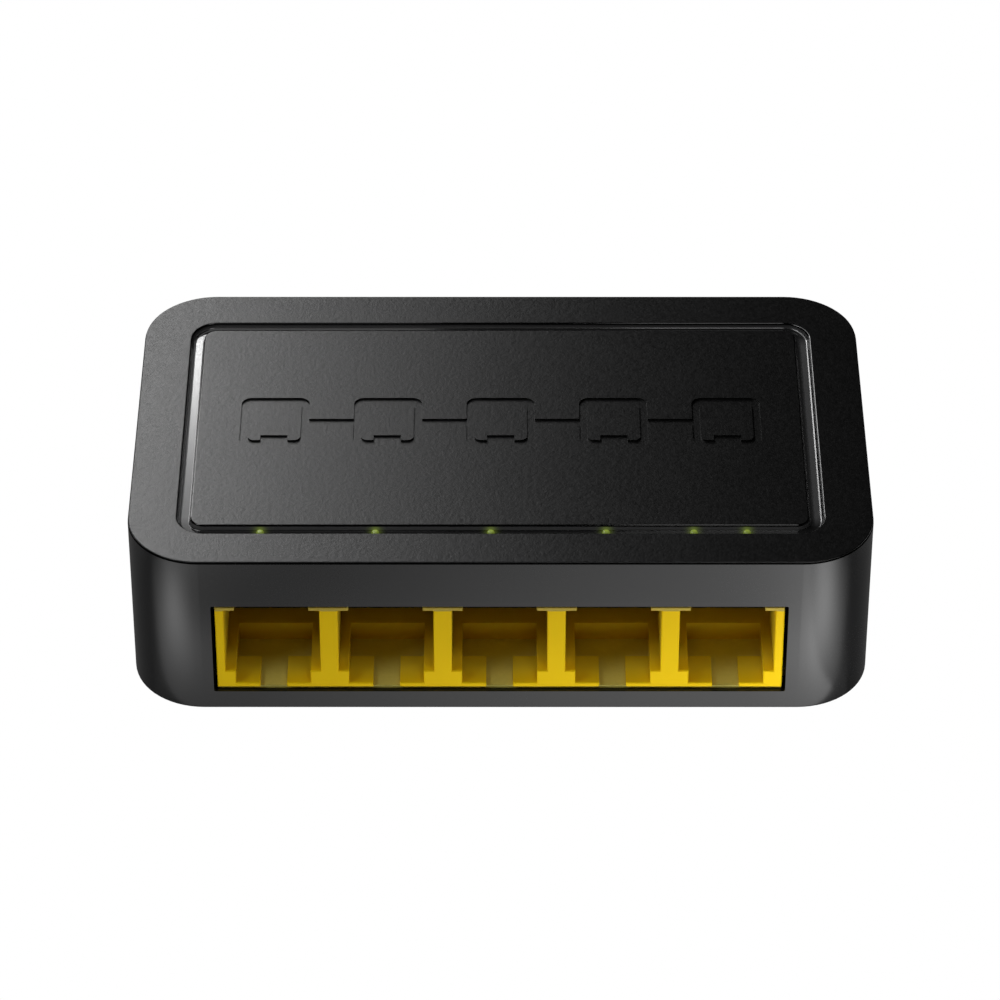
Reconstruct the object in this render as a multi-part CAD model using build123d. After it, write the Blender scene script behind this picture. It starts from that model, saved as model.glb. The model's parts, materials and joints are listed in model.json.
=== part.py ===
from build123d import *
import math
import os

# A five-port desktop network switch, in millimetres.
# X runs along the row of sockets, -Y is the face with the sockets, +Z is up. The origin is the centre
# of the footprint, on the surface that the rubber feet stand on.

# Case: a tub with the walls and the floor, closed by a cover whose bevelled lip covers the top of the wall.
CASE_X = 91.5
CASE_Y = 55.4
CASE_BOTTOM = 0.85
CASE_TOP = 24.0
CORNER_R = 9.0
WALL = 1.8
RIM = 0.9  # the outer half of the wall, which stands up round the cover
FLOOR_TOP = 2.1
BOTTOM_EDGE_R = 0.3
CLEARANCE = 0.1
FACE_Y = -CASE_Y / 2
BACK_Y = CASE_Y / 2
INSIDE_X = CASE_X / 2 - WALL

# The seam: the lip is undercut, and the tub's rim follows the undercut one shadow gap lower.
LIP_BOTTOM = 23.45
LIP_SET_BACK = 0.08
UNDERCUT_Z = 0.42
UNDERCUT_DEPTH = 0.67
LIP_EDGE_R = 0.12
SEAM_GAP = 0.21
TUB_TOP = LIP_BOTTOM + UNDERCUT_Z - SEAM_GAP
PLATE_BOTTOM = 22.2

# Skirt under the cover, just inside the walls.
SKIRT_T = 1.0
SKIRT_BOTTOM = 20.7

# The groove round the panel on the top: its outline, the panel's outline and its draft, and the radii of
# the two sides of the groove's floor and of its upper edges.
GROOVE_X = 79.3
GROOVE_Y = 43.6
GROOVE_R = 3.3
PANEL_X = 75.9
PANEL_Y = 40.5
PANEL_R = 1.6
PANEL_MID_X = -0.1
PANEL_DRAFT = 12.0
GROOVE_MID_Y = -0.1
GROOVE_DEPTH = 0.8
GROOVE_FLOOR_R = 0.5
GROOVE_PANEL_R = 0.12
GROOVE_EDGE_R = 0.25
GROOVE_FLOOR = CASE_TOP - GROOVE_DEPTH

# The sunk mark on the panel: five plain socket outlines on one bus line.
MARK_PITCH = 14.2
MARK_X = 8.6
MARK_Y = 9.8
MARK_MID_Y = 0.7
MARK_STROKE = 1.0
MARK_R = 1.3
MARK_TAB_X = 3.4
MARK_DEPTH = 0.25

# Sockets: five in one block, at the standard pitch, each sized for a plug 11.68 wide.
PORTS = 5
PORT_PITCH = 13.97
ROW_X = -0.13  # the row sits this far off the middle of the case
PORT_XS = [ROW_X + (i - (PORTS - 1) / 2) * PORT_PITCH for i in range(PORTS)]
BAY_X = 11.75
BLOCK_X = 69.75
BLOCK_FRONT = FACE_Y + 0.3
BLOCK_DEPTH = 15.8
BLOCK_Z = 12.75
BLOCK_EDGE = 0.12
LEDGE_Z = 2.6  # the ledges that carry the plug
CHANNEL_X = 9.23  # the latch channel between the ledges
CHANNEL_DEPTH = 9.33
SILL_Z = 0.7
SILL_DEPTH = 5.15
NOTCH_X = 3.3
TOP_LIP_Z = 0.65
TOP_GAP_X = 9.09
TOP_GAP_DEPTH = 3.0
BACK_LEDGE_DEPTH = 3.0
BLOCK_PEG_R = 1.4
BLOCK_PEG_XS = [PORT_XS[0], PORT_XS[-1]]
BLOCK_PEG_Y = BLOCK_FRONT + CHANNEL_DEPTH + BACK_LEDGE_DEPTH / 2

# Opening in the front wall, round the block.
OPENING_SIDE_GAP = 0.45
OPENING_BOTTOM = 3.56
OPENING_TOP = 17.07
OPENING_R = 0.25
LIP_THICKNESS = 0.65  # the wall's outer skin below the opening, in front of the board

# Circuit board, with a tongue that reaches under the sockets.
BOARD_TOP = 4.0
BOARD_T = 1.0
BOARD_BOTTOM = BOARD_TOP - BOARD_T
BOARD_X = 85.2
BOARD_FRONT = -24.0
BOARD_BACK = 25.2
BOARD_R = 6.5
TONGUE_X = 69.8
TONGUE_FRONT = FACE_Y + LIP_THICKNESS + 0.05

# Contact carrier of one socket, with its eight wires. Depths are from the block's front, and heights
# are from the board.
CARRIER_X = 11.55
CARRIER_FRONT = 5.3
CARRIER_BACK = 15.6
CARRIER_LOW = 9.6
CARRIER_HIGH = 11.76
LEG_FRONT = 13.4
LEG_X = 10.4
WIRES = 8
WIRE_PITCH = 1.02
WIRE_W = 0.34
WIRE_T = 0.35
SLOT_W = 0.44
SLOT_LOW = 11.3
DROP_FRONT = 4.9
REAR_DROP = 15.2
TAIL_LOW = -1.6
PIVOT_DEPTH = 5.8
PIVOT_Z = 9.35
SPRING_LENGTH = 6.0
SPRING_SLOPE = 30.0
SPRING_GAP = 0.06

# Indicator lights: X of each light, left to right.
LIGHT_XS = [-29.45, -15.35, -1.2, 12.9, 23.65, 30.15]
LIGHT_Y = -8.5
LIGHT_SIZE = (2.0, 1.25, 0.8)
TIP_R = 0.45
TIP_HOLE_R = 0.5
TIP_Y = GROOVE_MID_Y - GROOVE_Y / 2 + 0.85
TIP_TOP = GROOVE_FLOOR + 0.4
GUIDE = 1.4
GUIDE_LOW = 19.2
GUIDE_HIGH = GUIDE_LOW + GUIDE
GUIDE_BEVEL = 1.1
LUG_Y = LIGHT_Y - 3.0
LUG_R = 1.6
STAKE_XS = [-22.4, 18.3]
STAKE_R = 0.65

# Feet, screws and locating pegs.
FEET = {
    "front_left": (-36.0, -18.0),
    "front_right": (36.0, -18.0),
    "rear_left": (-37.0, 17.5),
    "rear_right": (37.0, 17.5),
}
SCREW_POINTS = [FEET["rear_left"], FEET["rear_right"]]
FOOT_R = 4.0
FOOT_HOLE_R = 4.15
FOOT_SEAT_Z = 1.5
FOOT_EDGE_R = 0.35
PEG_POINTS = [(-38.6, -14.0), (38.6, -14.0)]
PEG_R = 0.9
PEG_BASE_R = 2.2
BOSS_R = 2.4
SEAT_R = 3.4
SCREW_R = 1.1
SCREW_LENGTH = 9.0
HEAD_R = 2.0
HEAD_Z = 0.6
HEAD_SLOT = (2.4, 0.5, 0.35)
PILOT_R = 1.13

# Rating label under the case.
LABEL_X = 46.0
LABEL_Y = 15.0
LABEL_R = 1.5
LABEL_MID_Y = -14.0
LABEL_T = 0.12
LABEL_RECESS = 0.15

# Snap clips on the cover, two on each side wall.
CLIP_YS = [-11.0, 9.0]
CLIP_Y = 5.0
CLIP_T = 1.0
CLIP_LOW = 16.0
CLIP_GAP = 0.2
HOOK_Z = 1.2
HOOK_OUT = 0.5

# Power inlet for a 5.5 mm barrel plug. The leaf's three points are (y, z).
INLET_X = 28.0
INLET_W = 9.0
INLET_Z = 11.0
INLET_DEPTH = 14.2
INLET_BEVEL = 1.5
INLET_FACE = BACK_Y - 0.2
INLET_INNER = INLET_FACE - INLET_DEPTH
INLET_AXIS_Z = BOARD_TOP + 6.5
SOCKET_R = 3.15
SOCKET_DEPTH = 10.2
SOCKET_BACK = INLET_FACE - SOCKET_DEPTH
PIN_R = 1.0
PIN_SHOULDER_R = 1.3
PIN_RECESS = 1.0
PIN_TIP_R = 0.45
LEAF_W = 2.4
LEAF_T = 0.3
LEAF_PIVOT = (INLET_FACE - 9.6, INLET_AXIS_Z - 3.78)
LEAF_CREST = (INLET_FACE - 4.2, INLET_AXIS_Z - 2.58)
LEAF_END = (INLET_FACE - 2.0, INLET_AXIS_Z - 3.28)
LEAF_CHANNEL_BOTTOM = INLET_AXIS_Z - 4.58

# Magnetics, one module behind each socket.
MODULE_X = 12.0
MODULE_Y = 7.0
MODULE_Z = 3.2
MODULE_MID_Y = -1.6


def block(x0, x1, y0, y1, z0, z1):
    """A box between two opposite corners."""
    return Pos((x0 + x1) / 2, (y0 + y1) / 2, (z0 + z1) / 2) * Box(x1 - x0, y1 - y0, z1 - z0)


def block_at(x, y, z0, size):
    """A box of the given size, centred on x and y, standing on z0."""
    return Pos(x, y, z0 + size[2] / 2) * Box(*size)


def rounded_plate(size_x, size_y, radius, z0, z1):
    """A plate with rounded upright corners, centred on the Z axis."""
    return extrude(Pos(0, 0, z0) * RectangleRounded(size_x, size_y, radius), z1 - z0)


def inset_plate(inset, z0, z1):
    """A plate with the outline of the case, drawn in by the inset on every side."""
    return rounded_plate(CASE_X - 2 * inset, CASE_Y - 2 * inset, CORNER_R - inset, z0, z1)


def post(x, y, radius, z0, z1):
    """An upright round post."""
    return Pos(x, y, (z0 + z1) / 2) * Cylinder(radius, z1 - z0)


def prism_x(points, x0, x1):
    """An outline of (y, z) points, carried from x0 to x1."""
    return extrude(Plane.YZ.offset(x0) * Polygon(*points, align=None), x1 - x0)


def bar_y(x, z, radius, y0, y1):
    """A round bar along Y."""
    return Pos(x, (y0 + y1) / 2, z) * Rot(X=90) * Cylinder(radius, y1 - y0)


def wire_xs(x):
    """Centres of the eight wires of the socket at x."""
    return [x + (i - (WIRES - 1) / 2) * WIRE_PITCH for i in range(WIRES)]


def socket_mark(x):
    """One socket outline of the sunk mark, as a sketch on the XY plane."""
    inner_x = MARK_X - 2 * MARK_STROKE
    inner_y = MARK_Y - 2 * MARK_STROKE
    ring = RectangleRounded(MARK_X, MARK_Y, MARK_R)
    ring -= RectangleRounded(inner_x, inner_y, MARK_R - MARK_STROKE / 2)
    tab = Pos(0, -inner_y / 2 + MARK_STROKE / 2) * Rectangle(MARK_TAB_X, MARK_STROKE)
    return Pos(x, MARK_MID_Y) * (ring + tab)


def panel_mark():
    """The whole sunk mark: five socket outlines and the bus line between them."""
    first = -(PORTS - 1) / 2 * MARK_PITCH
    link = Rectangle(MARK_PITCH - MARK_X + MARK_STROKE, MARK_STROKE)
    marks = [socket_mark(first + i * MARK_PITCH) for i in range(PORTS)]
    links = [Pos(first + (i + 0.5) * MARK_PITCH, MARK_MID_Y) * link for i in range(PORTS - 1)]
    outline = Sketch() + marks + links
    return extrude(Pos(0, 0, CASE_TOP - MARK_DEPTH) * outline, MARK_DEPTH + 1)


def cover_clip(side, y):
    """A snap arm under the cover with a hook that faces the side wall."""
    outer = INSIDE_X - CLIP_GAP
    inner = outer - CLIP_T
    arm = block(inner, outer, y - CLIP_Y / 2, y + CLIP_Y / 2, CLIP_LOW, PLATE_BOTTOM)
    tip = INSIDE_X + HOOK_OUT
    outline = [(inner, CLIP_LOW), (outer, CLIP_LOW), (tip, CLIP_LOW + HOOK_Z), (inner, CLIP_LOW + HOOK_Z)]
    hook = extrude(Plane.XZ.offset(-(y + CLIP_Y / 2)) * Polygon(*outline, align=None), CLIP_Y)
    clip = arm + hook
    return clip if side > 0 else mirror(clip, Plane.YZ)


def lip_plate(set_back):
    """The outline of the cover's lip: a plate set back from the wall and undercut round its lower edge."""
    plate = inset_plate(set_back, LIP_BOTTOM, CASE_TOP)
    underside = plate.faces().sort_by(Axis.Z)[0]
    return chamfer(underside.edges(), UNDERCUT_DEPTH, UNDERCUT_Z, reference=underside)


def groove():
    """The space of the groove: rounded on its outer side, with the drafted wall of the panel inside."""
    ring = rounded_plate(GROOVE_X, GROOVE_Y, GROOVE_R, GROOVE_FLOOR, CASE_TOP)
    ring = fillet(ring.edges().group_by(Axis.Z)[0], GROOVE_FLOOR_R)
    spread = GROOVE_DEPTH * math.tan(math.radians(PANEL_DRAFT))
    foot = RectangleRounded(PANEL_X + 2 * spread, PANEL_Y + 2 * spread, PANEL_R + spread)
    panel = extrude(Pos(PANEL_MID_X, 0, GROOVE_FLOOR) * foot, GROOVE_DEPTH, taper=PANEL_DRAFT)
    ring -= panel
    reach_x = PANEL_X / 2 + 2 * spread
    reach_y = PANEL_Y / 2 + 2 * spread
    floor_edges = ring.edges().group_by(Axis.Z)[0]
    panel_side = [e for e in floor_edges if abs((e @ 0.5).X) < reach_x and abs((e @ 0.5).Y) < reach_y]
    return Pos(0, GROOVE_MID_Y) * fillet(panel_side, GROOVE_PANEL_R)


def inside_lip(edges):
    """Those of the edges that lie well inside the case outline."""
    reach_x = GROOVE_X / 2 + 1
    reach_y = GROOVE_Y / 2 + 1
    return [e for e in edges if abs((e @ 0.5).X) < reach_x and abs((e @ 0.5).Y) < reach_y]


def skirt():
    """The frame under the cover that locates it between the walls."""
    outer = WALL + CLEARANCE
    inner = outer + SKIRT_T
    return inset_plate(outer, SKIRT_BOTTOM, PLATE_BOTTOM) - inset_plate(inner, SKIRT_BOTTOM, PLATE_BOTTOM)


def top_cover():
    """The cover: a plate with a thin lip, the groove, the light holes, and clips and bosses below."""
    cover = lip_plate(LIP_SET_BACK)
    cover = fillet(cover.edges().group_by(Axis.Z)[-1], LIP_EDGE_R)
    cover += inset_plate(RIM + CLEARANCE, PLATE_BOTTOM, LIP_BOTTOM)
    cover -= groove()
    cover = fillet(inside_lip(cover.edges().group_by(Axis.Z)[-1]), GROOVE_EDGE_R)
    cover -= panel_mark()
    cover += skirt()
    for side in (-1, 1):
        for y in CLIP_YS:
            cover += cover_clip(side, y)
    for x, y in SCREW_POINTS:
        cover += post(x, y, BOSS_R, BOARD_TOP, PLATE_BOTTOM)
        cover -= post(x, y, PILOT_R, BOARD_TOP, BOARD_TOP + SCREW_LENGTH)
    for x in STAKE_XS:
        cover += post(x, LUG_Y, STAKE_R, GUIDE_LOW - 0.2, PLATE_BOTTOM)
    for x in LIGHT_XS:
        cover -= post(x, TIP_Y, TIP_HOLE_R, PLATE_BOTTOM - 1, CASE_TOP)
    return cover


def front_opening():
    """The hole in the front wall for the socket block, and the pocket for the board behind its sill."""
    left = ROW_X - BLOCK_X / 2 - OPENING_SIDE_GAP
    right = ROW_X + BLOCK_X / 2 + OPENING_SIDE_GAP
    hole = block(left, right, FACE_Y - 1, FACE_Y + WALL + 1, OPENING_BOTTOM, OPENING_TOP)
    hole = fillet(hole.edges().filter_by(Axis.Y), OPENING_R)
    pocket = block(left, right, FACE_Y + LIP_THICKNESS, FACE_Y + WALL + 1, FLOOR_TOP, OPENING_BOTTOM + 1)
    return hole + pocket


def inlet_opening():
    """The hole in the rear wall for the power inlet."""
    side = INLET_W / 2 + 0.2
    top = BOARD_TOP + INLET_Z + 0.3
    return block(INLET_X - side, INLET_X + side, BACK_Y - WALL - 1, BACK_Y + 1, BOARD_TOP - 0.4, top)


def clip_catch(side, y):
    """The pocket in a side wall that a clip's hook snaps into."""
    reach = CLIP_Y / 2 + 0.3
    near = INSIDE_X - HOOK_OUT
    far = INSIDE_X + HOOK_OUT + CLEARANCE
    catch = block(near, far, y - reach, y + reach, CLIP_LOW - 0.3, CLIP_LOW + HOOK_Z + CLEARANCE)
    return catch if side > 0 else mirror(catch, Plane.YZ)


def floor_vents():
    """Rows of slots in the floor, below the warm end of the board."""
    slot = SlotOverall(11.0, 1.6, rotation=90)
    slots = Sketch() + [Pos((i - 6) * 3.6, y) * slot for i in range(13) for y in (3.0, 17.0)]
    return extrude(slots, FLOOR_TOP + 1)


def case_base():
    """The tub: floor, four walls, seats for the board, feet, label and screws, and catches for the clips."""
    tub = inset_plate(0, CASE_BOTTOM, TUB_TOP)
    tub = fillet(tub.edges().group_by(Axis.Z)[0], BOTTOM_EDGE_R)
    tub -= inset_plate(WALL, FLOOR_TOP, TUB_TOP)
    tub -= inset_plate(RIM, PLATE_BOTTOM, TUB_TOP)
    tub -= Pos(0, 0, -SEAM_GAP) * lip_plate(0)
    tub -= front_opening()
    tub -= floor_vents()
    tub -= inlet_opening()
    for x, y in SCREW_POINTS:
        tub += post(x, y, SEAT_R, FLOOR_TOP - 0.3, BOARD_BOTTOM)
        tub -= post(x, y, SCREW_R + 0.2, CASE_BOTTOM, BOARD_BOTTOM)
        tub -= post(x, y, HEAD_R + 0.25, CASE_BOTTOM, FOOT_SEAT_Z + HEAD_Z)
    for x, y in PEG_POINTS:
        tub += post(x, y, PEG_BASE_R, FLOOR_TOP - 0.3, BOARD_BOTTOM)
        tub += post(x, y, PEG_R, BOARD_BOTTOM, BOARD_TOP + 0.6)
    for y in (-6.0, 24.6):
        tub += block(-30.0, 30.0, y - 0.5, y + 0.5, FLOOR_TOP - 0.3, BOARD_BOTTOM)
    for x, y in FEET.values():
        tub -= post(x, y, FOOT_HOLE_R, CASE_BOTTOM, FOOT_SEAT_Z)
    tub -= block_at(0, LABEL_MID_Y, CASE_BOTTOM, (LABEL_X + 0.4, LABEL_Y + 0.4, LABEL_RECESS))
    for side in (-1, 1):
        for y in CLIP_YS:
            tub -= clip_catch(side, y)
    return tub


def rating_label():
    """A blank label in its shallow recess under the case."""
    recess_top = CASE_BOTTOM + LABEL_RECESS
    outline = Pos(0, LABEL_MID_Y, recess_top - LABEL_T) * RectangleRounded(LABEL_X, LABEL_Y, LABEL_R)
    return extrude(outline, LABEL_T)


def rubber_foot(x, y):
    """A round foot glued into its recess, with a softened lower edge."""
    foot = post(x, y, FOOT_R, 0, FOOT_SEAT_Z)
    return fillet(foot.edges().group_by(Axis.Z)[0], FOOT_EDGE_R)


def case_screws():
    """The two screws that come up under the rear feet, through the board, into the cover."""
    screws = []
    slot_x, slot_y, slot_z = HEAD_SLOT
    for x, y in SCREW_POINTS:
        head_top = FOOT_SEAT_Z + HEAD_Z
        screw = post(x, y, HEAD_R, FOOT_SEAT_Z + 0.05, head_top)
        screw += post(x, y, SCREW_R, head_top, head_top + SCREW_LENGTH)
        screw -= block_at(x, y, FOOT_SEAT_Z, (slot_x, slot_y, slot_z))
        screw -= block_at(x, y, FOOT_SEAT_Z, (slot_y, slot_x, slot_z))
        screws.append(screw)
    return Compound(children=screws)


def circuit_board():
    """The board, with a tongue that reaches under the sockets into the front wall."""
    low = BOARD_BOTTOM
    high = BOARD_TOP
    main = block(-BOARD_X / 2, BOARD_X / 2, BOARD_FRONT, BOARD_BACK, low, high)
    board = fillet(main.edges().filter_by(Axis.Z), BOARD_R)
    board += block(ROW_X - TONGUE_X / 2, ROW_X + TONGUE_X / 2, TONGUE_FRONT, BOARD_FRONT + 1, low, high)
    for x, y in SCREW_POINTS:
        board -= post(x, y, SCREW_R + 0.3, low, high)
    for x, y in PEG_POINTS:
        board -= post(x, y, PEG_R + 0.1, low, high)
    for x in PORT_XS:
        for wire in wire_xs(x):
            board -= post(wire, BLOCK_FRONT + REAR_DROP + WIRE_T / 2, 0.36, low, high)
    for x in BLOCK_PEG_XS:
        board -= post(x, BLOCK_PEG_Y, BLOCK_PEG_R + 0.1, low, high)
    for x, y, size_x, size_y in inlet_slots():
        board -= block_at(x, y, low, (size_x + 0.3, size_y + 0.3, BOARD_T))
    return board


def socket_space(x):
    """The space inside one socket: the plug's bay, the gap in the lip above, and the latch channel."""
    front = BLOCK_FRONT
    back = front + BLOCK_DEPTH
    sill_end = front + SILL_DEPTH
    channel_end = front + CHANNEL_DEPTH
    base = BOARD_TOP
    sill = base + SILL_Z
    ledge = base + LEDGE_Z
    top = base + BLOCK_Z
    ceiling = top - TOP_LIP_Z
    bay = BAY_X / 2
    gap = TOP_GAP_X / 2
    channel = CHANNEL_X / 2
    notch = NOTCH_X / 2
    leg = LEG_X / 2 + 0.2
    space = block(x - bay, x + bay, front, back, ledge, ceiling)
    space += block(x - gap, x + gap, front, front + TOP_GAP_DEPTH, ceiling, top)
    space += block(x - channel, x + channel, front, channel_end, sill, ledge)
    space += block(x - notch, x + notch, front, sill_end, base, sill)
    space += block(x - channel, x + channel, sill_end, channel_end, base, sill)
    space += block(x - leg, x + leg, channel_end + BACK_LEDGE_DEPTH, back, base, ledge)
    return space


def socket_housing():
    """The block of five sockets, with two pegs into the board."""
    left = ROW_X - BLOCK_X / 2
    right = ROW_X + BLOCK_X / 2
    body = block(left, right, BLOCK_FRONT, BLOCK_FRONT + BLOCK_DEPTH, BOARD_TOP, BOARD_TOP + BLOCK_Z)
    for x in PORT_XS:
        body -= socket_space(x)
    body = chamfer(body.edges().group_by(Axis.Y)[0], BLOCK_EDGE)
    for x in BLOCK_PEG_XS:
        body += post(x, BLOCK_PEG_Y, BLOCK_PEG_R, BOARD_BOTTOM - 0.3, BOARD_TOP + 0.5)
    return body


def contact_carrier(x):
    """The insert that roofs one socket and guides its eight wires to the board."""
    front = BLOCK_FRONT + CARRIER_FRONT
    back = BLOCK_FRONT + CARRIER_BACK
    low = BOARD_TOP + CARRIER_LOW
    high = BOARD_TOP + CARRIER_HIGH
    half = CARRIER_X / 2
    carrier = block(x - half, x + half, front, back, low, high)
    carrier += block(x - LEG_X / 2, x + LEG_X / 2, BLOCK_FRONT + LEG_FRONT, back, BOARD_TOP + 0.1, low)
    for wire in wire_xs(x):
        side = SLOT_W / 2
        carrier -= block(wire - side, wire + side, front, back, BOARD_TOP + SLOT_LOW, high)
        carrier -= block(wire - side, wire + side, BLOCK_FRONT + REAR_DROP, back, BOARD_TOP, high)
    return carrier


def contact_tails(x):
    """The fixed part of the eight wires: over the carrier, down its back and through the board."""
    tails = []
    front = BLOCK_FRONT + DROP_FRONT
    low = BOARD_TOP + PIVOT_Z - WIRE_T / 2
    run = BOARD_TOP + SLOT_LOW
    back = BLOCK_FRONT + REAR_DROP + WIRE_T
    hook_end = BLOCK_FRONT + PIVOT_DEPTH - WIRE_T / 2 - SPRING_GAP
    for wire in wire_xs(x):
        left = wire - WIRE_W / 2
        right = wire + WIRE_W / 2
        tail = block(left, right, front, back, run, run + WIRE_T)
        tail += block(left, right, front, front + WIRE_T, low, run + WIRE_T)
        tail += block(left, right, front, hook_end, low, low + WIRE_T)
        tail += block(left, right, back - WIRE_T, back, BOARD_TOP + TAIL_LOW, run + WIRE_T)
        tails.append(tail)
    return Compound(children=tails)


def contact_springs(x):
    """The free arms of the eight wires, which slope down into the bay from their hinge line."""
    hinge = Pos(0, BLOCK_FRONT + PIVOT_DEPTH, BOARD_TOP + PIVOT_Z) * Rot(X=-SPRING_SLOPE)
    arms = []
    for wire in wire_xs(x):
        arm = block(wire - WIRE_W / 2, wire + WIRE_W / 2, 0, SPRING_LENGTH, -WIRE_T / 2, WIRE_T / 2)
        for y in (0, SPRING_LENGTH):
            arm += Pos(wire, y, 0) * Rot(Y=90) * Cylinder(WIRE_T / 2, WIRE_W)
        arms.append(hinge * arm)
    return Compound(children=arms)


def light_guide():
    """One clear moulding that carries each light over the sockets and up into the groove."""
    front = TIP_Y - GUIDE / 2
    rise = TIP_Y + GUIDE / 2
    stub_front = LIGHT_Y - 0.8
    stub_back = LIGHT_Y + 0.8
    outline = [
        (stub_front, BOARD_TOP + LIGHT_SIZE[2] + 0.3),
        (stub_back, BOARD_TOP + LIGHT_SIZE[2] + 0.3),
        (stub_back, GUIDE_HIGH - GUIDE_BEVEL),
        (stub_back - GUIDE_BEVEL, GUIDE_HIGH),
        (rise, GUIDE_HIGH),
        (rise, PLATE_BOTTOM - 0.2),
        (front, PLATE_BOTTOM - 0.2),
        (front, GUIDE_LOW + GUIDE_BEVEL),
        (front + GUIDE_BEVEL, GUIDE_LOW),
        (stub_front, GUIDE_LOW),
    ]
    low = GUIDE_LOW + 0.2
    high = GUIDE_HIGH - 0.2
    guide = block(LIGHT_XS[0], LIGHT_XS[-1], LUG_Y - GUIDE / 2, LUG_Y + GUIDE / 2, low, high)
    for x in LIGHT_XS:
        guide += prism_x(outline, x - GUIDE / 2, x + GUIDE / 2)
        tip = post(x, TIP_Y, TIP_R, PLATE_BOTTOM - 0.3, TIP_TOP)
        guide += fillet(tip.edges().group_by(Axis.Z)[-1], 0.25)
    for x in STAKE_XS:
        guide += post(x, LUG_Y, LUG_R, low, high)
        guide -= post(x, LUG_Y, STAKE_R + 0.1, low, high)
    return guide


def indicator_light(x):
    """A surface-mounted light under one leg of the guide: a base with a smaller clear cap."""
    size_x, size_y, size_z = LIGHT_SIZE
    light = block_at(x, LIGHT_Y, BOARD_TOP, (size_x, size_y, size_z / 2))
    light += block_at(x, LIGHT_Y, BOARD_TOP + size_z / 2, (size_x - 0.6, size_y, size_z / 2))
    return light


def inlet_slots():
    """Where the inlet's two terminals go through the board: x, y and the terminal's two sides."""
    return [(INLET_X, INLET_INNER - 0.3, 2.2, 0.6), (INLET_X, LEAF_PIVOT[0] - 1.0, 2.2, 0.6)]


def inlet_body():
    """The moulded body of the power inlet, with its socket and the channel for the leaf spring."""
    half = INLET_W / 2
    slot = LEAF_W / 2 + 0.3
    slot_back = LEAF_PIVOT[0] - 0.5
    slot_front = INLET_FACE - 1.2
    slot_top = INLET_AXIS_Z - 2
    body = block(INLET_X - half, INLET_X + half, INLET_INNER, INLET_FACE, BOARD_TOP, BOARD_TOP + INLET_Z)
    body = chamfer(body.faces().sort_by(Axis.Z)[-1].edges().filter_by(Axis.Y), INLET_BEVEL)
    body -= bar_y(INLET_X, INLET_AXIS_Z, SOCKET_R, SOCKET_BACK, INLET_FACE)
    body -= bar_y(INLET_X, INLET_AXIS_Z, PIN_SHOULDER_R + 0.02, INLET_INNER, SOCKET_BACK)
    body -= block(INLET_X - slot, INLET_X + slot, slot_back, slot_front, LEAF_CHANNEL_BOTTOM, slot_top)
    x, y, size_x, size_y = inlet_slots()[1]
    hole_z = LEAF_PIVOT[1] + 0.3 - BOARD_TOP
    body -= block_at(x, y, BOARD_TOP, (size_x + 0.1, size_y + 0.1, hole_z))
    return body


def inlet_pin():
    """The centre pin, with a thicker shoulder in the body and a terminal down through the board."""
    pin = bar_y(INLET_X, INLET_AXIS_Z, PIN_R, SOCKET_BACK, INLET_FACE - PIN_RECESS)
    pin = fillet(pin.edges().group_by(Axis.Y)[-1], PIN_TIP_R)
    pin += bar_y(INLET_X, INLET_AXIS_Z, PIN_SHOULDER_R, INLET_INNER - 0.6, SOCKET_BACK)
    x, y, size_x, size_y = inlet_slots()[0]
    low = BOARD_TOP + TAIL_LOW
    return pin + block_at(x, y, low, (size_x, size_y, INLET_AXIS_Z + PIN_SHOULDER_R - low))


def inlet_terminal():
    """The fixed terminal behind the leaf spring."""
    x, y, size_x, size_y = inlet_slots()[1]
    low = BOARD_TOP + TAIL_LOW
    return block_at(x, y, low, (size_x, size_y, LEAF_PIVOT[1] + 0.2 - low))


def inlet_leaf():
    """The leaf spring that presses on the barrel of a plug, hinged at its inner end."""
    half = LEAF_T / 2
    low = [(y, z - half) for y, z in (LEAF_PIVOT, LEAF_CREST, LEAF_END)]
    high = [(y, z + half) for y, z in (LEAF_END, LEAF_CREST, LEAF_PIVOT)]
    return prism_x(low + high, INLET_X - LEAF_W / 2, INLET_X + LEAF_W / 2)


def leads_along_x(x, y, count, pitch, reach, width):
    """A row of gull-wing leads, seen from above as short bars along Y."""
    first = x - (count - 1) / 2 * pitch
    return [block_at(first + i * pitch, y, BOARD_TOP, (width, reach, 0.3)) for i in range(count)]


def magnetics_module(x):
    """An isolation transformer module with eight leads on each long side."""
    body = block_at(x, MODULE_MID_Y, BOARD_TOP + 0.15, (MODULE_X, MODULE_Y, MODULE_Z))
    body = chamfer(body.edges().group_by(Axis.Z)[-1], 0.4)
    leads = []
    for side in (-1, 1):
        leads += leads_along_x(x, MODULE_MID_Y + side * (MODULE_Y / 2 + 0.3), 8, 1.27, 1.6, 0.45)
    return body + leads


def switch_chip():
    """The switch controller: a square flat package with twelve leads on each side."""
    size = 10.0
    x, y = -2.0, 12.0
    body = block_at(x, y, BOARD_TOP + 0.1, (size, size, 1.4))
    body = chamfer(body.edges().group_by(Axis.Z)[-1], 0.25)
    body -= post(x - 3.6, y - 3.6, 0.5, BOARD_TOP + 1.4, BOARD_TOP + 1.5)
    leads = []
    for side in (-1, 1):
        leads += leads_along_x(x, y + side * (size / 2 + 0.4), 12, 0.75, 1.4, 0.3)
        for i in range(12):
            lead_y = y + (i - 5.5) * 0.75
            leads.append(block_at(x + side * (size / 2 + 0.4), lead_y, BOARD_TOP, (1.4, 0.3, 0.3)))
    return body + leads


def clock_crystal():
    """The timing crystal in its low metal can."""
    can = extrude(Pos(-15.5, 14.0, BOARD_TOP) * SlotOverall(11.0, 4.6, rotation=90), 3.4)
    flange = extrude(Pos(-15.5, 14.0, BOARD_TOP) * SlotOverall(11.6, 5.2, rotation=90), 0.5)
    return fillet(can.edges().group_by(Axis.Z)[-1], 0.5) + flange


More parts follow.
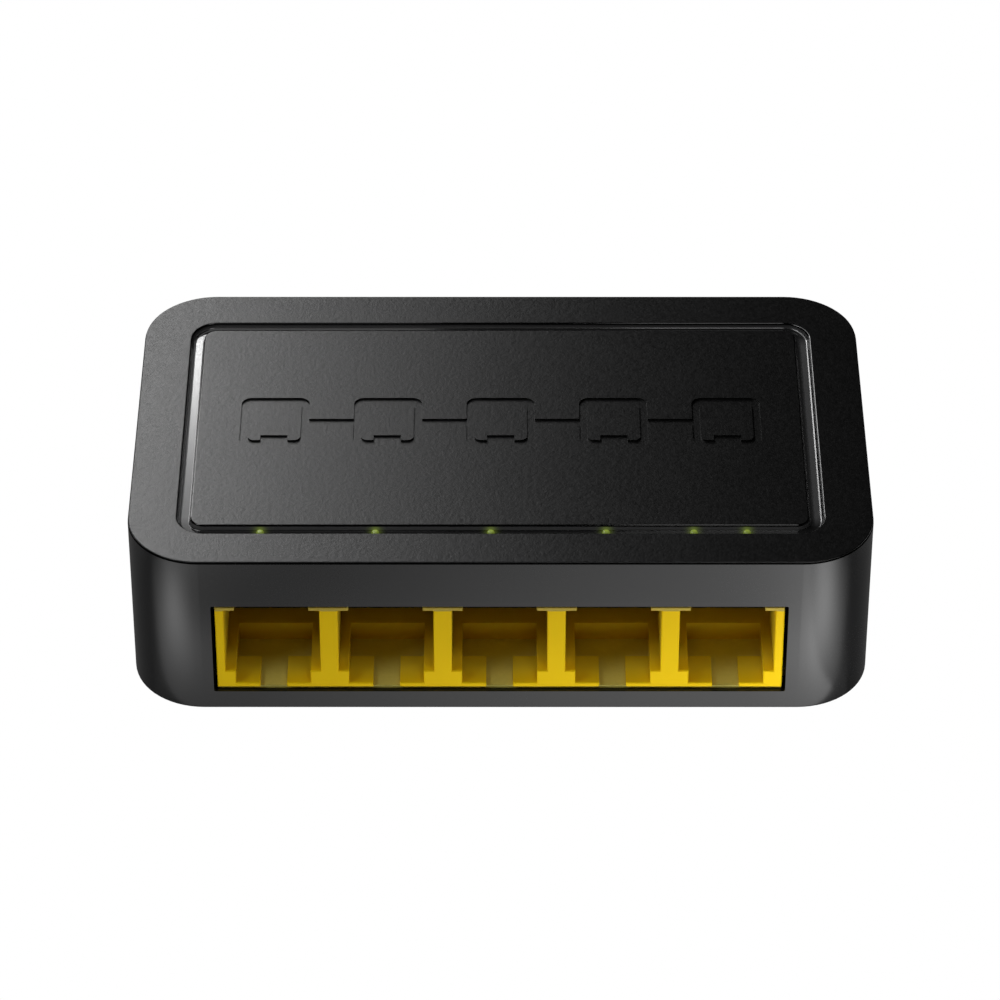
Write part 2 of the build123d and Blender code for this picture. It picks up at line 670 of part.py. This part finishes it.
def supply_capacitor(x, y):
    """An electrolytic capacitor: a can on a square base."""
    base = block_at(x, y, BOARD_TOP, (6.6, 6.6, 0.8))
    base = chamfer(base.edges().filter_by(Axis.Z), 0.8)
    can = post(x, y, 3.1, BOARD_TOP + 0.8, BOARD_TOP + 6.5)
    return base + fillet(can.edges().group_by(Axis.Z)[-1], 0.5)


def power_inductor():
    """The inductor of the voltage converter: a square base, a drum and a square cap."""
    x, y = 13.0, 20.0
    base = block_at(x, y, BOARD_TOP, (5.2, 5.2, 0.5))
    drum = post(x, y, 2.2, BOARD_TOP + 0.5, BOARD_TOP + 2.3)
    return base + drum + block_at(x, y, BOARD_TOP + 2.3, (5.0, 5.0, 0.7))


def converter_chip():
    """The voltage converter: a small package with three leads on each side."""
    x, y = 13.0, 13.5
    body = block_at(x, y, BOARD_TOP + 0.05, (2.9, 1.6, 1.1))
    leads = []
    for side in (-1, 1):
        leads += leads_along_x(x, y + side * 1.0, 3, 0.95, 0.8, 0.4)
    return body + leads


def input_diode():
    """The diode that protects the power input."""
    x, y = 17.5, 11.0
    body = block_at(x, y, BOARD_TOP + 0.1, (2.6, 4.3, 2.1))
    body = chamfer(body.edges().group_by(Axis.Z)[-1], 0.3)
    return body + [block_at(x, y + side * 2.3, BOARD_TOP, (1.5, 1.0, 0.3)) for side in (-1, 1)]


def bypass_capacitors():
    """The small ceramic capacitors round the controller and the converter."""
    places = [(x, y) for x in (-10.0, 6.0) for y in (8.0, 11.0, 16.0, 19.0)]
    places += [(9.0, 22.5), (17.5, 16.6)]
    return Compound(children=[block_at(x, y, BOARD_TOP, (0.8, 1.6, 0.8)) for x, y in places])


def line_resistors():
    """Two terminating resistors beside each magnetics module."""
    places = [(x + side * 2.0, 4.6) for x in PORT_XS for side in (-1, 1)]
    return Compound(children=[block_at(x, y, BOARD_TOP, (1.6, 0.8, 0.45)) for x, y in places])


def all_parts():
    """Every sub-part by name."""
    parts = {
        "top_cover": top_cover(),
        "case_base": case_base(),
        "rating_label": rating_label(),
        "case_screws": case_screws(),
        "circuit_board": circuit_board(),
        "socket_housing": socket_housing(),
        "light_guide": light_guide(),
        "inlet_body": inlet_body(),
        "inlet_pin": inlet_pin(),
        "inlet_terminal": inlet_terminal(),
        "inlet_leaf_spring": inlet_leaf(),
        "switch_chip": switch_chip(),
        "clock_crystal": clock_crystal(),
        "supply_capacitor_1": supply_capacitor(-26.0, 18.0),
        "supply_capacitor_2": supply_capacitor(19.5, 21.2),
        "power_inductor": power_inductor(),
        "converter_chip": converter_chip(),
        "input_diode": input_diode(),
        "bypass_capacitors": bypass_capacitors(),
        "line_resistors": line_resistors(),
    }
    for corner, (x, y) in FEET.items():
        parts[f"foot_{corner}"] = rubber_foot(x, y)
    for number, x in enumerate(PORT_XS, start=1):
        parts[f"contact_carrier_{number}"] = contact_carrier(x)
        parts[f"contact_tails_{number}"] = contact_tails(x)
        parts[f"contact_springs_{number}"] = contact_springs(x)
        parts[f"magnetics_module_{number}"] = magnetics_module(x)
    for number, x in enumerate(LIGHT_XS, start=1):
        parts[f"indicator_light_{number}"] = indicator_light(x)
    return parts


os.makedirs("parts", exist_ok=True)
for name, shape in all_parts().items():
    export_step(shape, f"parts/{name}.step")
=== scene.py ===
import json
import math

import bpy
from mathutils import Matrix, Vector


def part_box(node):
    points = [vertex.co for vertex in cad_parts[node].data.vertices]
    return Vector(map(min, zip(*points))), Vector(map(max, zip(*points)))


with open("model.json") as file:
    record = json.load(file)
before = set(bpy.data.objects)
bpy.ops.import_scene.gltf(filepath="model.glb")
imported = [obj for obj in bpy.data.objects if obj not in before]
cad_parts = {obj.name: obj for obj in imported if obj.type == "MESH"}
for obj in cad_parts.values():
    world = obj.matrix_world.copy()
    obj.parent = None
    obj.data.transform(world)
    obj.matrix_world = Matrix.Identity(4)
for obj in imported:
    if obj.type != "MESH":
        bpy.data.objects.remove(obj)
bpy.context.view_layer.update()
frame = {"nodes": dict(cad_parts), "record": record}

MM = 0.001
nodes = frame["nodes"]

# Places on the case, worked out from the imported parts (millimetres where a shader needs them).
COVER_LOW, COVER_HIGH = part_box("top_cover")
BLOCK_LOW, BLOCK_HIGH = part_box("socket_housing")
TOP_MM = COVER_HIGH.z / MM
GROOVE_HALF_MM = (39.65, 21.8)
PANEL_HALF_MM = (37.95, 20.25)
GROOVE_MID_Y_MM = -0.1
GROOVE_DEPTH_MM = 0.8
GROOVE_FLOOR_MM = TOP_MM - GROOVE_DEPTH_MM
OVER_PANEL_MM = 0.5  # how far the groove's polish and painted greys reach over the panel's outline
OVER_RING_MM = 0.3  # and over its own outer outline
SIDE_RUN_END_MM = GROOVE_HALF_MM[1] - 4.0  # the groove turns round its corners beyond this y
FACE_Y = COVER_LOW.y
LIGHT_XS_MM = [sum(corner.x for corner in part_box(f"indicator_light_{i}")) / 2 / MM for i in range(1, 7)]
GLOW_Y_MM = GROOVE_MID_Y_MM - PANEL_HALF_MM[1] - 0.45
GLOW_Z_MM = GROOVE_FLOOR_MM + 0.25
BLOCK_TOP_MM = BLOCK_HIGH.z / MM
BLOCK_FRONT_MM = BLOCK_LOW.y / MM

# Light, in metres and as radiance.
UP = (0, 0, 1)
DOWN = (0, 0, -1)
STRIP_Z = 0.12
RIM_ALONG = (0.64, 0, 0.77)
CARD_Z = 0.00005  # cards that overlap lie this far above one another, so that none hides another
FLOOR_GLOW = 0.115
WORLD_GLOW = 0.003


# ---------------------------------------------------------------- shader building blocks


def new_material(name):
    """A material with its node tree emptied, and that tree's Principled shader."""
    material = bpy.data.materials.new(name)
    material.use_nodes = True
    tree = material.node_tree
    tree.nodes.clear()
    output = tree.nodes.new("ShaderNodeOutputMaterial")
    shader = tree.nodes.new("ShaderNodeBsdfPrincipled")
    tree.links.new(shader.outputs["BSDF"], output.inputs["Surface"])
    return material, tree, shader


def plug(tree, socket, value):
    """Sets a socket to a number or colour, or links it to another node's output."""
    if isinstance(value, bpy.types.NodeSocket):
        tree.links.new(value, socket)
    else:
        socket.default_value = value


def compute(tree, operation, *values):
    """One Math node."""
    node = tree.nodes.new("ShaderNodeMath")
    node.operation = operation
    for socket, value in zip(node.inputs, values):
        plug(tree, socket, value)
    return node.outputs[0]


def millimetres(tree):
    """The surface point in the object's own frame, in millimetres."""
    coords = tree.nodes.new("ShaderNodeTexCoord")
    scale = tree.nodes.new("ShaderNodeVectorMath")
    scale.operation = "SCALE"
    tree.links.new(coords.outputs["Object"], scale.inputs[0])
    scale.inputs["Scale"].default_value = 1 / MM
    return scale.outputs[0]


def split(tree, vector):
    """The x, y and z of a vector."""
    node = tree.nodes.new("ShaderNodeSeparateXYZ")
    tree.links.new(vector, node.inputs[0])
    return node.outputs[0], node.outputs[1], node.outputs[2]


def noise(tree, point, per_mm, detail=3.0, roughness=0.55):
    """Noise between 0 and 1, with the given number of features to the millimetre."""
    node = tree.nodes.new("ShaderNodeTexNoise")
    tree.links.new(point, node.inputs["Vector"])
    node.inputs["Scale"].default_value = per_mm
    node.inputs["Detail"].default_value = detail
    node.inputs["Roughness"].default_value = roughness
    return node.outputs[0]


def between(tree, value, low, high):
    """Takes a value from 0..1 to low..high."""
    node = tree.nodes.new("ShaderNodeMapRange")
    plug(tree, node.inputs["Value"], value)
    plug(tree, node.inputs["To Min"], low)
    plug(tree, node.inputs["To Max"], high)
    return node.outputs[0]


def blend_colors(tree, share, first, second):
    """Mixes two colours."""
    node = tree.nodes.new("ShaderNodeMix")
    node.data_type = "RGBA"
    plug(tree, node.inputs["Factor"], share)
    plug(tree, node.inputs[6], first)
    plug(tree, node.inputs[7], second)
    return node.outputs[2]


def bump(tree, height, depth_mm, strength=1.0):
    """A normal from a height between 0 and 1, as deep as depth_mm."""
    node = tree.nodes.new("ShaderNodeBump")
    plug(tree, node.inputs["Strength"], strength)
    plug(tree, node.inputs["Distance"], depth_mm * MM)
    plug(tree, node.inputs["Height"], height)
    return node.outputs[0]


def rgb(red, green, blue):
    return (red, green, blue, 1.0)


# ---------------------------------------------------------------- materials


def inside(tree, value, low, high):
    """1 where the value lies between low and high, 0 elsewhere."""
    above = compute(tree, "GREATER_THAN", value, low)
    below = compute(tree, "LESS_THAN", value, high)
    return compute(tree, "MULTIPLY", above, below)


def past_outline(tree, x, y, half_size):
    """How far a point is outside a rectangle on the cover, in millimetres; negative inside it."""
    past_x = compute(tree, "SUBTRACT", compute(tree, "ABSOLUTE", x), half_size[0])
    from_middle = compute(tree, "SUBTRACT", y, GROOVE_MID_Y_MM)
    past_y = compute(tree, "SUBTRACT", compute(tree, "ABSOLUTE", from_middle), half_size[1])
    return compute(tree, "MAXIMUM", past_x, past_y)


def groove_mask(tree, point, edge_mm):
    """1 inside the groove of the cover and on its edges up to edge_mm below the top, 0 elsewhere."""
    x, y, z = split(tree, point)
    outside_panel = compute(tree, "GREATER_THAN", past_outline(tree, x, y, PANEL_HALF_MM), -OVER_PANEL_MM)
    inside_groove = compute(tree, "LESS_THAN", past_outline(tree, x, y, GROOVE_HALF_MM), OVER_RING_MM)
    ring = compute(tree, "MULTIPLY", outside_panel, inside_groove)
    level = inside(tree, z, GROOVE_FLOOR_MM - 0.1, TOP_MM - edge_mm)
    return compute(tree, "MULTIPLY", ring, level)


def light_glow(tree, point, falloff, sideways=1.0):
    """1 at the nearest light tip, falling softly to 0 around it; sideways under 1 stretches it along x."""
    x, y, z = split(tree, point)
    gap_x = 100.0
    for light_x in LIGHT_XS_MM:
        offset = compute(tree, "ABSOLUTE", compute(tree, "SUBTRACT", x, light_x))
        gap_x = compute(tree, "MINIMUM", gap_x, compute(tree, "MULTIPLY", offset, sideways))
    gap_y = compute(tree, "SUBTRACT", y, GLOW_Y_MM)
    gap_z = compute(tree, "SUBTRACT", z, GLOW_Z_MM)
    squares = [compute(tree, "MULTIPLY", gap, gap) for gap in (gap_x, gap_y, gap_z)]
    away = compute(tree, "ADD", compute(tree, "ADD", squares[0], squares[1]), squares[2])
    return compute(tree, "EXPONENT", compute(tree, "MULTIPLY", away, -falloff))


def painted_groove_greys(tree, y, z):
    """Painted light and shade inside the groove, in greys set by place: lighter on the front wall, darker on
    the back wall, near black on the side walls, and lighter on the floor at the sides than at the ends.
    """
    past_side = compute(tree, "SUBTRACT", compute(tree, "ABSOLUTE", y), SIDE_RUN_END_MM)
    halved = compute(tree, "MAXIMUM", compute(tree, "MULTIPLY", past_side, 0.5), 0.0)
    at_end = compute(tree, "MINIMUM", halved, 1.0)
    backward = compute(tree, "MULTIPLY_ADD", y, 0.5 / GROOVE_HALF_MM[1], 0.5)
    end_wall = blend_colors(tree, backward, rgb(0.115, 0.115, 0.116), rgb(0.045, 0.045, 0.0455))
    wall = blend_colors(tree, at_end, rgb(0.002, 0.002, 0.002), end_wall)
    floor = blend_colors(tree, at_end, rgb(0.078, 0.078, 0.079), rgb(0.014, 0.014, 0.0142))
    above_floor = compute(tree, "GREATER_THAN", z, GROOVE_FLOOR_MM + 0.12)
    return blend_colors(tree, above_floor, floor, wall)


def cover_plastic():
    """Black plastic with a fine spark-eroded grain, polished inside the groove, with painted light and shade
    in the groove's greys and a painted glow round each light tip.
    """
    material, tree, shader = new_material("cover_plastic")
    point = millimetres(tree)
    _, y, z = split(tree, point)
    groove = groove_mask(tree, point, 0.25)
    polished = groove_mask(tree, point, 0.02)
    grain = noise(tree, point, 1.9, detail=3.0, roughness=0.6)
    cloud = noise(tree, point, 0.08, detail=2.0)
    matte = compute(tree, "ADD", between(tree, grain, 0.30, 0.46), between(tree, cloud, -0.02, 0.02))
    roughness = compute(tree, "ADD", compute(tree, "MULTIPLY", polished, -0.28), matte)
    plug(tree, shader.inputs["Roughness"], roughness)
    black = blend_colors(tree, grain, rgb(0.0001, 0.0001, 0.0001), rgb(0.0022, 0.0022, 0.0023))
    # The base colour in the groove is painted light and shade, set by place; elsewhere it is the grained
    # black.
    plug(tree, shader.inputs["Base Color"], blend_colors(tree, groove, black, painted_groove_greys(tree, y, z)))
    strength = compute(tree, "SUBTRACT", 1.0, compute(tree, "MULTIPLY", polished, 0.95))
    plug(tree, shader.inputs["Normal"], bump(tree, grain, 0.034, strength))
    shader.inputs["Specular IOR Level"].default_value = 0.5
    # Painted light: the cover glows in a soft halo in the groove round each light tip, standing in for the
    # light that the tips spill on it.
    shader.inputs["Emission Color"].default_value = rgb(0.09, 0.125, 0.011)
    glow = compute(tree, "MULTIPLY", groove, light_glow(tree, point, 4.2, 0.75))
    plug(tree, shader.inputs["Emission Strength"], glow)
    return material


def wall_plastic():
    """The same black plastic with the smoother satin finish of the side walls."""
    material, tree, shader = new_material("wall_plastic")
    point = millimetres(tree)
    grain = noise(tree, point, 6.0, detail=3.0)
    cloud = noise(tree, point, 0.06, detail=2.0)
    satin = compute(tree, "ADD", between(tree, grain, 0.23, 0.29), between(tree, cloud, -0.02, 0.02))
    plug(tree, shader.inputs["Roughness"], satin)
    black = blend_colors(tree, grain, rgb(0.003, 0.003, 0.0032), rgb(0.005, 0.005, 0.0053))
    plug(tree, shader.inputs["Base Color"], black)
    plug(tree, shader.inputs["Normal"], bump(tree, grain, 0.004))
    shader.inputs["Specular IOR Level"].default_value = 0.5
    return material


def moulded(name, dark, light, roughness, grain_per_mm=3.0, bump_mm=0.006):
    """A moulded plastic, rubber or epoxy: two close colours, uneven gloss and a fine grain."""
    material, tree, shader = new_material(name)
    point = millimetres(tree)
    grain = noise(tree, point, grain_per_mm, detail=4.0)
    cloud = noise(tree, point, 0.25, detail=2.0)
    plug(tree, shader.inputs["Base Color"], blend_colors(tree, cloud, rgb(*dark), rgb(*light)))
    plug(tree, shader.inputs["Roughness"], between(tree, grain, roughness - 0.05, roughness + 0.05))
    plug(tree, shader.inputs["Normal"], bump(tree, grain, bump_mm))
    return material


def metal(name, dark, light, roughness):
    """A plated or drawn metal with fine scratches along one way and slight stains."""
    material, tree, shader = new_material(name)
    point = millimetres(tree)
    stretch = tree.nodes.new("ShaderNodeMapping")
    tree.links.new(point, stretch.inputs["Vector"])
    stretch.inputs["Scale"].default_value = (1.0, 0.08, 1.0)
    scratch = noise(tree, stretch.outputs[0], 9.0, detail=3.0)
    stain = noise(tree, point, 0.7, detail=2.0)
    plug(tree, shader.inputs["Base Color"], blend_colors(tree, stain, rgb(*dark), rgb(*light)))
    plug(tree, shader.inputs["Roughness"], between(tree, scratch, roughness - 0.07, roughness + 0.07))
    plug(tree, shader.inputs["Normal"], bump(tree, scratch, 0.002))
    shader.inputs["Metallic"].default_value = 1.0
    return material


def yellow_plastic():
    """Bright yellow nylon: slightly translucent, satin, with faint flow marks; painted shade makes it darker
    and duller deeper in the sockets, and a painted reflection darkens its top lip.
    """
    material, tree, shader = new_material("yellow_plastic")
    point = millimetres(tree)
    grain = noise(tree, point, 3.5, detail=4.0)
    flow = noise(tree, point, 0.2, detail=2.0)
    _, y, z = split(tree, point)
    front = blend_colors(tree, flow, rgb(0.93, 0.615, 0.003), rgb(0.985, 0.655, 0.004))
    # Painted shade: deeper into the sockets the yellow turns darker and duller, standing in for the shade
    # inside them.
    shaded_inner = blend_colors(tree, flow, rgb(0.80, 0.60, 0.03), rgb(0.86, 0.645, 0.035))
    depth = compute(tree, "MULTIPLY", compute(tree, "SUBTRACT", y, BLOCK_FRONT_MM), 0.3)
    depth = compute(tree, "MINIMUM", compute(tree, "MAXIMUM", depth, 0.0), 1.0)
    # Painted reflection: the top lip of the block is darker and duller, standing in for the black cover
    # reflected in it.
    painted_lip_reflection = compute(tree, "GREATER_THAN", z, BLOCK_TOP_MM - 0.65)
    body = blend_colors(tree, depth, front, shaded_inner)
    plug(tree, shader.inputs["Base Color"], blend_colors(tree, painted_lip_reflection, body, rgb(0.58, 0.43, 0.075)))
    plug(tree, shader.inputs["Roughness"], between(tree, grain, 0.36, 0.46))
    plug(tree, shader.inputs["Normal"], bump(tree, grain, 0.006))
    shader.inputs["Specular IOR Level"].default_value = 0.05
    shader.inputs["Subsurface Weight"].default_value = 0.08
    shader.inputs["Subsurface Radius"].default_value = (1.0, 0.6, 0.1)
    shader.inputs["Subsurface Scale"].default_value = 0.0006
    return material


def board_laminate():
    """Pale solder mask over a glass weave."""
    material, tree, shader = new_material("board_laminate")
    point = millimetres(tree)
    x, y, _ = split(tree, point)
    warp = compute(tree, "SINE", compute(tree, "MULTIPLY", x, 2 * math.pi / 0.7))
    weft = compute(tree, "SINE", compute(tree, "MULTIPLY", y, 2 * math.pi / 0.7))
    weave = between(tree, compute(tree, "MULTIPLY", warp, weft), 0.25, 0.75)
    speck = noise(tree, point, 1.5, detail=3.0)
    mask = blend_colors(tree, speck, rgb(0.66, 0.575, 0.13), rgb(0.76, 0.66, 0.16))
    plug(tree, shader.inputs["Base Color"], mask)
    plug(tree, shader.inputs["Roughness"], between(tree, speck, 0.42, 0.55))
    shader.inputs["Specular IOR Level"].default_value = 0.05
    plug(tree, shader.inputs["Normal"], bump(tree, weave, 0.004))
    return material


def guide_clear():
    """Clear acrylic, tinted and glowing yellow-green at the tips that show in the groove."""
    material, tree, shader = new_material("guide_clear")
    point = millimetres(tree)
    _, _, z = split(tree, point)
    flow = noise(tree, point, 0.5, detail=2.0)
    tip = compute(tree, "GREATER_THAN", z, GROOVE_FLOOR_MM - 0.3)
    clear = blend_colors(tree, flow, rgb(0.86, 0.88, 0.84), rgb(0.92, 0.93, 0.9))
    plug(tree, shader.inputs["Base Color"], blend_colors(tree, tip, clear, rgb(0.06, 0.09, 0.015)))
    plug(tree, shader.inputs["Roughness"], between(tree, flow, 0.3, 0.38))
    shader.inputs["Emission Color"].default_value = rgb(0.20, 0.26, 0.036)
    glow = compute(tree, "MULTIPLY", tip, light_glow(tree, point, 2.0))
    plug(tree, shader.inputs["Emission Strength"], glow)
    return material


def paint(node, material):
    """Gives a CAD node its material in every slot."""
    mesh = nodes[node].data
    mesh.materials.clear()
    mesh.materials.append(material)


def paint_all():
    """Chooses the material of every CAD node by the record's slot."""
    black_chip = moulded("chip_epoxy", (0.02, 0.02, 0.021), (0.03, 0.03, 0.032), 0.55)
    terminal = metal("terminal_metal", (0.62, 0.6, 0.56), (0.74, 0.72, 0.68), 0.28)
    by_slot = {
        "case_plastic": wall_plastic(),
        "label_film": moulded("label_film", (0.5, 0.5, 0.49), (0.56, 0.56, 0.55), 0.45),
        "screw_steel": metal("screw_steel", (0.45, 0.45, 0.46), (0.6, 0.6, 0.61), 0.35),
        "board_laminate": board_laminate(),
        "yellow_plastic": yellow_plastic(),
        "carrier_plastic": moulded("carrier_plastic", (0.045, 0.03, 0.015), (0.06, 0.042, 0.02), 0.5),
        "contact_gold": metal("contact_gold", (0.75, 0.5, 0.18), (0.86, 0.62, 0.27), 0.25),
        "module_epoxy": moulded("module_epoxy", (0.015, 0.015, 0.016), (0.025, 0.025, 0.026), 0.6),
        "chip_epoxy": black_chip,
        "crystal_can": metal("crystal_can", (0.6, 0.6, 0.62), (0.72, 0.72, 0.74), 0.25),
        "capacitor_can": metal("capacitor_can", (0.7, 0.7, 0.72), (0.8, 0.8, 0.82), 0.3),
        "ferrite": moulded("ferrite", (0.05, 0.048, 0.045), (0.08, 0.078, 0.072), 0.65),
        "ceramic_tan": moulded("ceramic_tan", (0.36, 0.26, 0.15), (0.44, 0.32, 0.2), 0.4),
        "resistor_black": moulded("resistor_black", (0.015, 0.015, 0.018), (0.025, 0.025, 0.03), 0.25),
        "inlet_plastic": moulded("inlet_plastic", (0.012, 0.012, 0.012), (0.018, 0.018, 0.018), 0.42),
        "terminal_metal": terminal,
        "guide_clear": guide_clear(),
        "light_package": moulded("light_package", (0.6, 0.62, 0.5), (0.7, 0.72, 0.6), 0.3),
        "foot_rubber": moulded("foot_rubber", (0.02, 0.02, 0.021), (0.03, 0.03, 0.031), 0.8, 2.5, 0.03),
    }
    for part in frame["record"]["subparts"]:
        paint(part["node"], by_slot[part["material_slot"]])
    paint("top_cover", cover_plastic())


# ---------------------------------------------------------------- stage, light and camera


def stage_floor():
    """A wide pale floor that looks evenly white and throws only a little light back at the object."""
    half = 3.0
    mesh = bpy.data.meshes.new("floor")
    corners = [(-half, -half, 0), (half, -half, 0), (half, half, 0), (-half, half, 0)]
    mesh.from_pydata(corners, [], [(0, 1, 2, 3)])
    floor = bpy.data.objects.new("floor", mesh)
    bpy.context.scene.collection.objects.link(floor)
    material = bpy.data.materials.new("floor_white")
    material.use_nodes = True
    tree = material.node_tree
    tree.nodes.clear()
    output = tree.nodes.new("ShaderNodeOutputMaterial")
    tree.links.new(seen_and_thrown(tree, "ShaderNodeEmission", FLOOR_GLOW), output.inputs["Surface"])
    mesh.materials.append(material)


def seen_and_thrown(tree, kind, glow):
    """White for the eye, and the given grey for the light that it throws on the object."""
    thrown = tree.nodes.new(kind)
    seen = tree.nodes.new(kind)
    choose = tree.nodes.new("ShaderNodeMixShader")
    ray = tree.nodes.new("ShaderNodeLightPath")
    thrown.inputs["Color"].default_value = rgb(glow, glow, glow)
    seen.inputs["Color"].default_value = rgb(1, 1, 1)
    tree.links.new(ray.outputs["Is Camera Ray"], choose.inputs[0])
    tree.links.new(thrown.outputs[0], choose.inputs[1])
    tree.links.new(seen.outputs[0], choose.inputs[2])
    return choose.outputs[0]


def softbox(name, place, facing, size, radiance, fade=None, along=(0, 1, 0)):
    """A rectangular light of even radiance, hidden from the camera; fade makes it uneven."""
    data = bpy.data.lights.new(name, "AREA")
    data.shape = "RECTANGLE"
    data.size, data.size_y = size
    data.energy = math.pi * size[0] * size[1] * radiance
    if fade:
        data.use_nodes = True
        emission = data.node_tree.nodes["Emission"]
        data.node_tree.links.new(fade(data.node_tree), emission.inputs["Strength"])
    light = bpy.data.objects.new(name, data)
    bpy.context.scene.collection.objects.link(light)
    back = -Vector(facing).normalized()
    across = Vector(along).cross(back).normalized()
    turned = Matrix((across, back.cross(across), back)).transposed().to_4x4()
    light.matrix_world = Matrix.Translation(place) @ turned
    light.visible_camera = False
    return light


def across_and_along(tree):
    """The place on a rectangular light, from 0 to 1 each way."""
    geometry = tree.nodes.new("ShaderNodeNewGeometry")
    return split(tree, geometry.outputs["Parametric"])


def towards_right(tree):
    """Fade of a light that faces up, from nothing at its left side to full at its right side."""
    return compute(tree, "SUBTRACT", 1.0, across_and_along(tree)[0])


def towards_back(tree):
    """Fade of a light that faces down, growing ever faster from its front edge to its back edge."""
    return compute(tree, "POWER", across_and_along(tree)[1], 3.2)


def towards_front(tree):
    """Fade of a light that faces down, slowly falling from its front edge to its back edge."""
    return compute(tree, "MULTIPLY_ADD", across_and_along(tree)[1], -0.75, 1.2)


def towards_middle(tree):
    """Fade with a soft round peak in the middle of a light."""
    across, along, _ = across_and_along(tree)
    offsets = [compute(tree, "SUBTRACT", value, 0.5) for value in (across, along)]
    squares = [compute(tree, "MULTIPLY", offset, offset) for offset in offsets]
    return compute(tree, "EXPONENT", compute(tree, "MULTIPLY", compute(tree, "ADD", *squares), -12.5))


def facing_light(name, place, size, radiance, along=(0, 1, 0)):
    """A rectangular light turned towards the object."""
    return softbox(name, place, [-value for value in place], size, radiance, along=along)


def overhead_lights():
    """Strips over the left side, whose reflections shade the top from left to right, and two keys."""
    softbox("strip_over_left", (-0.065, 0.19, STRIP_Z), DOWN, (0.02, 0.42), 8.4, towards_front)
    softbox("strip_edge", (-0.030, 0.19, STRIP_Z), DOWN, (0.04, 0.42), 1.15)
    softbox("groove_strip", (-0.0495, 0.115, STRIP_Z - 0.001), DOWN, (0.007, 0.075), 21.0, towards_back)
    facing_light("key_left", (-0.4, -0.2, 0.5), (0.16, 0.30), 5.0)
    facing_light("key_near", (0.05, -0.10, 0.22), (0.06, 0.06), 4.6)


def rim_lights():
    """Slanted strips behind on the left, which draw thin bright lines along the edges of the groove."""
    facing_light("rim_left", (-0.352, 0.52, 0.29), (0.05, 0.30), 9.0, RIM_ALONG)
    facing_light("rim_right", (-0.252, 0.52, 0.271), (0.044, 0.30), 6.0, RIM_ALONG)


def table_cards():
    """Glowing cards on the table in front of the socket side, brighter to the right and at the corners."""
    softbox("front_card", (0, FACE_Y - 0.0265, CARD_Z), UP, (0.09, 0.0515), 1.7, towards_right)
    softbox("front_card_wide", (0, FACE_Y - 0.009, 2 * CARD_Z), UP, (0.14, 0.0165), 0.43)
    # Square cards, from the ground up above those two: x, y, side and radiance.
    corner_cards = [
        (-0.046, -0.040, 0.03, 1.05),
        (-0.056, -0.042, 0.03, 2.15),
        (-0.050, -0.070, 0.05, 1.95),
        (-0.080, -0.090, 0.08, 1.0),
        (0.046, -0.040, 0.03, 2.4),
        (0.056, -0.042, 0.03, 1.3),
        (0.056, -0.050, 0.04, 3.3),
        (0.050, -0.070, 0.05, 1.8),
    ]
    for number, (x, y, side, radiance) in enumerate(corner_cards, start=3):
        softbox(f"corner_card_{number}", (x, y, number * CARD_Z), UP, (side, side), radiance, towards_middle)


def rear_cards():
    """Fainter cards behind the case and beside it, for the walls that the camera doesn't see."""
    softbox("back_card", (0, COVER_HIGH.y + 0.033, CARD_Z), UP, (0.078, 0.058), 1.8)
    for name, side in (("left_card", -1), ("right_card", 1)):
        softbox(name, (side * 0.108, 0.01, CARD_Z), UP, (0.05, 0.07), 1.2)


def world_light():
    """A white surround for the eye that throws next to no light on the object."""
    world = bpy.data.worlds.new("studio")
    bpy.context.scene.world = world
    world.use_nodes = True
    tree = world.node_tree
    tree.nodes.clear()
    output = tree.nodes.new("ShaderNodeOutputWorld")
    tree.links.new(seen_and_thrown(tree, "ShaderNodeBackground", WORLD_GLOW), output.inputs["Surface"])


def camera():
    """A long lens looking down at the socket side, from 38 degrees above the table."""
    pitch = math.radians(38.0)
    data = bpy.data.cameras.new("camera")
    data.sensor_width = 36.0
    data.lens = 4.868 * data.sensor_width
    data.clip_start = 0.01
    shot = bpy.data.objects.new("camera", data)
    bpy.context.scene.collection.objects.link(shot)
    shot.location = (-0.00008, -0.48789, 0.39315)
    shot.rotation_euler = (math.pi / 2 - pitch, 0, 0)
    bpy.context.scene.camera = shot


paint_all()
stage_floor()
overhead_lights()
rim_lights()
table_cards()
rear_cards()
world_light()
camera()
bpy.context.scene.view_settings.view_transform = "Standard"
